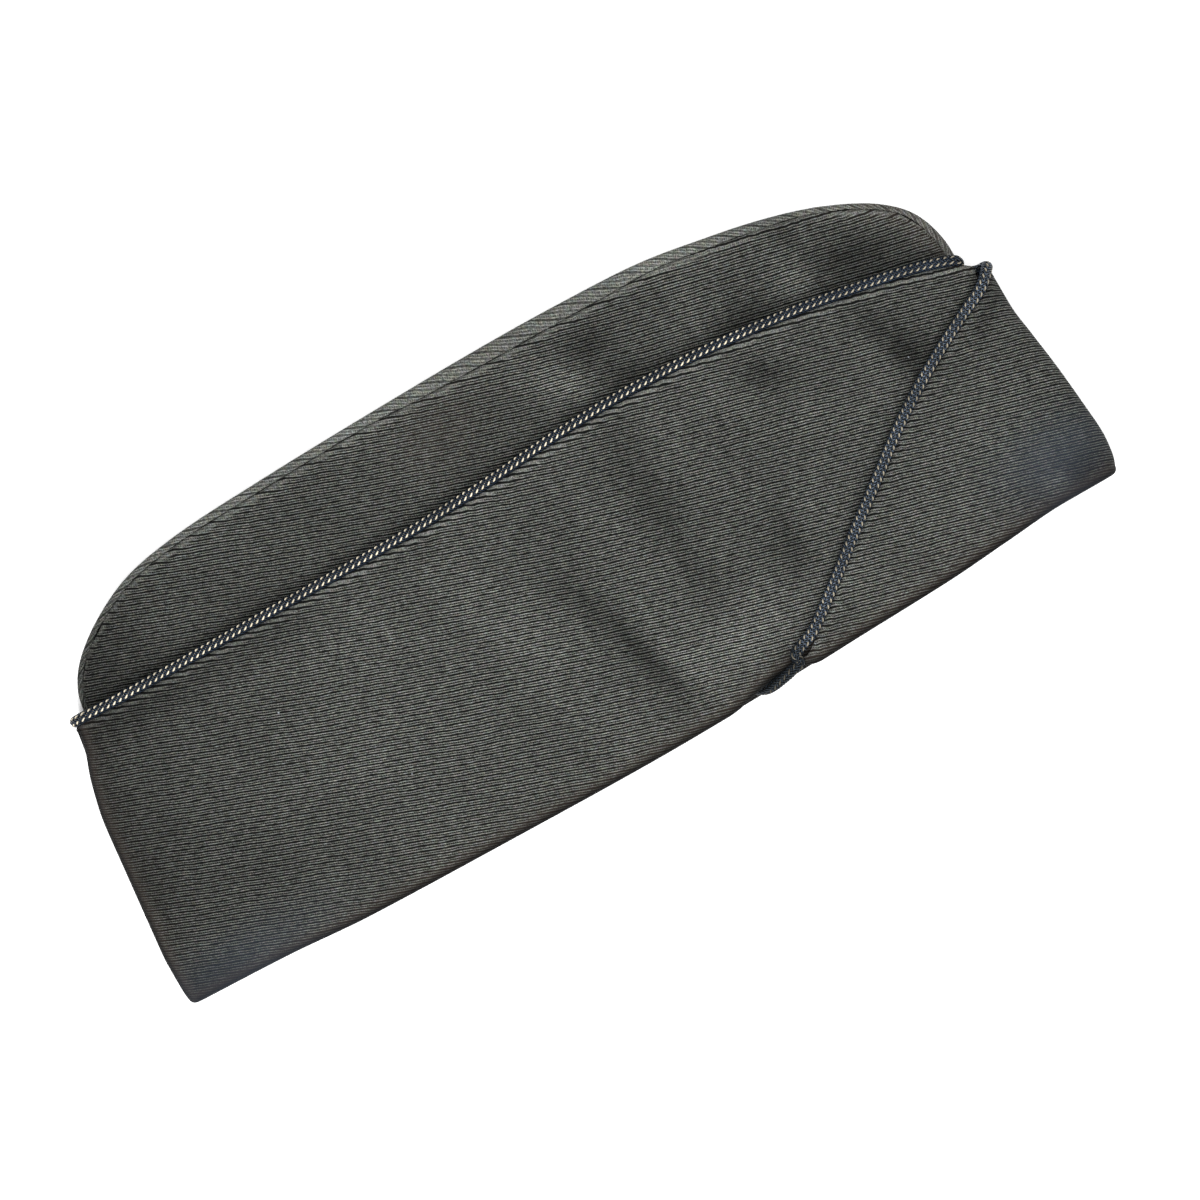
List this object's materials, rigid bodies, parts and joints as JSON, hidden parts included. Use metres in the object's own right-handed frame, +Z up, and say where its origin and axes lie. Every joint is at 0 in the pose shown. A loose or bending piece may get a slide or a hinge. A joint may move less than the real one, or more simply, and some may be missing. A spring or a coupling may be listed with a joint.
{
  "type": "garrison cap",
  "caption": "Folded flat brimless wool cap with a turned-up curtain that laps diagonally at the front and is edged with cord braid.",
  "frame": {"origin": "on the floor under the middle of the cap's bounding box, as it lies on its left side", "axes": "+X to the cap's front, +Y from the rim to the ridge, +Z up, out of the cap's right side"},
  "size_m": [0.29, 0.1196, 0.0256],
  "materials": {
    "serge": "grey-green wool, steep double twill",
    "curtain_serge": "grey-green wool, steep double twill, doubled",
    "braid": "tubular braid, navy with gold-coloured strands"
  },
  "bodies": {
    "root": {"crown_right": "serge", "crown_left": "serge", "crown_top": "serge", "curtain_right": "curtain_serge", "curtain_left": "curtain_serge", "piping_right": "braid", "piping_left": "braid"}
  },
  "joints": []
}
